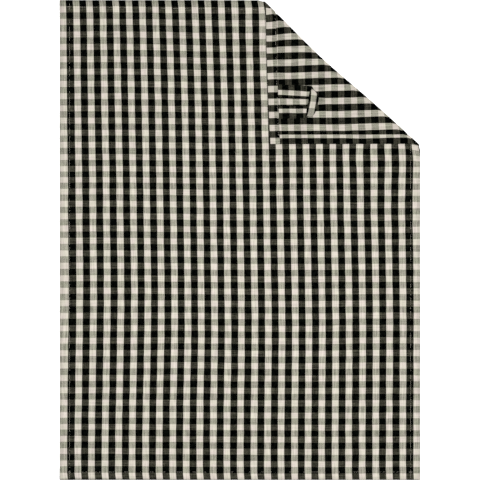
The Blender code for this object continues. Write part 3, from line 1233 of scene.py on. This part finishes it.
# %% A smooth ribbon through the sections
def section_at(sections, place):
    """The section at a place between them, on a smooth curve through all."""
    last = len(sections) - 1
    index = min(int(place), last - 1)
    share = place - index
    before, start, end, after = (
        sections[min(max(index + k, 0), last)] for k in (-1, 0, 1, 2)
    )
    found = []
    for a, b, c, d in zip(before, start, end, after):
        bend = (2 * a - 5 * b + 4 * c - d) * share**2 + (3 * b - a - 3 * c + d) * share**3
        found.append((2 * b + (c - a) * share + bend) / 2)
    return found


def flap_back(plan):
    """Height of the turned corner's upper side, between its hems."""
    share = min(max(crease_frame(plan)[1] / TURNED_PAST, 0.0), 1.0)
    return flap_under(plan, share) + SHEET


def across_tape(distance, light_from, light_to):
    """The pattern's distance across, for a distance from the edge where its stripe starts."""
    if distance < light_from:
        return distance - light_from - LIGHT_HALF
    if distance > light_to:
        return distance - light_to + LIGHT_HALF
    share = (distance - light_from) / (light_to - light_from)
    return LIGHT_HALF * (2.0 * share - 1.0)


def lengths_along(places):
    """How far each section's middle is from the first one's, along the ribbon."""
    travelled = [0.0]
    for before, after in zip(places, places[1:]):
        step_x = after[0] + after[2] - before[0] - before[2]
        step_y = after[1] + after[3] - before[1] - before[3]
        step = Vector((step_x, step_y)) / 2
        travelled.append(travelled[-1] + MM * step.length)
    return travelled


# %% One stretch of the loop
def add_ribbon(shape, sections, start, pace, crown, edge_shade, slowing=0.0, edge_drop=0.0):
    """A ribbon through these sections, its pattern running along it from start at this pace.

    crown is how far the middle stands above the edges, and edge_shade how much painted shade
    darkens the first edge, where the tape's fold rolls away from the light. slowing is how much the
    pace falls in a metre, where the tape is stretched, and edge_drop how far the edges come down
    where the ribbon rises. It returns the ribbon's length.
    """
    ribbon = bmesh.new()
    count = SECTION_STEPS * (len(sections) - 1)
    bmesh.ops.create_grid(ribbon, x_segments=count, y_segments=TAPE_CELLS, size=0.5)
    check = ribbon.loops.layers.uv.new("check")
    tone = ribbon.verts.layers.float.new("tone")
    places = [section_at(sections, k / SECTION_STEPS) for k in range(count + 1)]
    travelled = lengths_along(places)
    for vertex in ribbon.verts:
        k = round((vertex.co.x + 0.5) * count)
        share = vertex.co.y + 0.5
        inner_x, inner_y, outer_x, outer_y, rise, light_from, light_to = places[k]
        inner = Vector((inner_x, inner_y))
        outer = Vector((outer_x, outer_y))
        plan = LOOP_ROOT + MM * inner.lerp(outer, share)
        arch = math.sin(math.pi * share)
        height = flap_back(plan) + TAPE_CLEAR + TAPE / 2 + MM * rise
        height += crown * arch - edge_drop * (1.0 - arch) ** 2
        distance = share * (outer - inner).length
        across = MM * across_tape(distance, light_from, light_to)
        # painted shade at the tape's first edge, where its fold rolls away from the light
        vertex[tone] = FLAP_TONE * (1.0 - edge_shade * (1.0 - smooth(distance / light_from)))
        down = start + (pace - slowing * travelled[k] / 2) * travelled[k]
        for loop in vertex.link_loops:
            loop[check].uv = (across, down)
        vertex.co = (*plan, height)
    bmesh.ops.recalc_face_normals(ribbon, faces=ribbon.faces[:])
    if sum(face.normal.z for face in ribbon.faces) < 0:
        bmesh.ops.reverse_faces(ribbon, faces=ribbon.faces[:])
    mesh = bpy.data.meshes.new("ribbon")
    ribbon.to_mesh(mesh)
    ribbon.free()
    shape.from_mesh(mesh)
    bpy.data.meshes.remove(mesh)
    return travelled[-1]


# %% [markdown]
# The tape's strip was cut so that a light stripe runs down its middle, with a dark one on either
# side: half a stripe of dark at the inner edge and a whole one at the outer edge. The weft's
# stripes cross it, a little stretched on the lower leg.

# %% Make the loop
tape = bmesh.new()
upper_run = add_ribbon(
    tape, UPPER_SECTIONS, start=-0.0061, pace=1.0, crown=0.0001, edge_shade=0.85
)
lower_run = add_ribbon(
    tape, LOWER_SECTIONS, start=-0.0056, pace=0.9, crown=0.0001, edge_shade=0.6
)
bar_run = add_ribbon(
    tape,
    BAR_SECTIONS,
    start=-0.0067,
    pace=1.22,
    crown=0.0008,
    edge_shade=0.7,
    slowing=15.5,
    edge_drop=0.0010,
)
loop_cotton = woven_cotton("loop_gingham", 9.0)
loop_tape = new_piece("loop_tape", tape, loop_cotton, "hanging_loop")
thicken(loop_tape, TAPE)

# %% Say how the towel lies
print("the towel is laid flat, and the loop's tape is folded on it")

# %% [markdown]
# ## Floor, light and camera
#
# The towel is shown from straight above on white. The floor glows a little, so that it comes out
# white. Most light comes evenly from the sky. A soft lamp far off to the right makes it a little
# stronger from there, so that the turned corner leaves a thin shadow along its left edge, and a
# small weak one over the towel makes its middle a little brighter than its corners.

# %% Floor
FLOOR_SIZE = 12.0
FLOOR_DROP = 0.0001
FLOOR_ROUGHNESS = 0.9
FLOOR_GLOW = 0.45
FLOOR_WHITE = (0.93, 0.93, 0.93, 1.0)
PURE_WHITE = (1.0, 1.0, 1.0, 1.0)
floor_mesh = bmesh.new()
bmesh.ops.create_grid(floor_mesh, x_segments=1, y_segments=1, size=FLOOR_SIZE / 2)
mesh = bpy.data.meshes.new("floor")
floor_mesh.to_mesh(mesh)
floor_mesh.free()
floor = bpy.data.objects.new("floor", mesh)
floor.location.z = -FLOOR_DROP
white, white_shader = new_matte("white_floor", FLOOR_ROUGHNESS)
white_shader.inputs["Base Color"].default_value = FLOOR_WHITE
white_shader.inputs["Emission Color"].default_value = PURE_WHITE
white_shader.inputs["Emission Strength"].default_value = FLOOR_GLOW
mesh.materials.append(white)
bpy.context.scene.collection.objects.link(floor)
print("the floor is", FLOOR_SIZE, "m wide")

# %% Light
SKY_STRENGTH = 0.50
scene = bpy.context.scene
sky = bpy.data.worlds.new("sky")
sky.use_nodes = True
background = sky.node_tree.nodes["Background"]
background.inputs["Color"].default_value = PURE_WHITE
background.inputs["Strength"].default_value = SKY_STRENGTH
scene.world = sky


def add_lamp(name, place, size, power):
    """A soft round lamp that points at the towel's middle."""
    data = bpy.data.lights.new(name, "AREA")
    data.shape = "DISK"
    data.size = size
    data.energy = power
    lamp = bpy.data.objects.new(name, data)
    lamp.location = place
    lamp.rotation_euler = place.to_track_quat("Z", "Y").to_euler()
    lamp.visible_camera = False
    scene.collection.objects.link(lamp)


add_lamp("side_lamp", place=Vector((3.0, -0.3, 4.2)), size=1.5, power=105.0)
add_lamp("top_lamp", place=Vector((-0.02, -0.08, 1.0)), size=0.8, power=6.7)
scene.view_settings.view_transform = "Standard"
scene.view_settings.look = "None"
scene.view_settings.exposure = 0.0
scene.view_settings.gamma = 1.0
print(len(bpy.data.lights), "lamps and a sky")

# %% Camera
LENS = 100.0
SENSOR = 36.0
FRAME_WIDTH = 0.6665  # what the photograph takes in across, at the cloth
CLOTH_LEVEL = 0.0012
camera_data = bpy.data.cameras.new("camera")
camera_data.lens = LENS
camera_data.sensor_width = SENSOR
camera_data.dof.use_dof = False
camera = bpy.data.objects.new("camera", camera_data)
camera.location = (0.0, 0.0, CLOTH_LEVEL + FRAME_WIDTH * LENS / SENSOR)
scene.collection.objects.link(camera)
scene.camera = camera
print("the camera is", round(camera.location.z, 3), "m above the floor")

# %% Finish
bpy.context.view_layer.update()
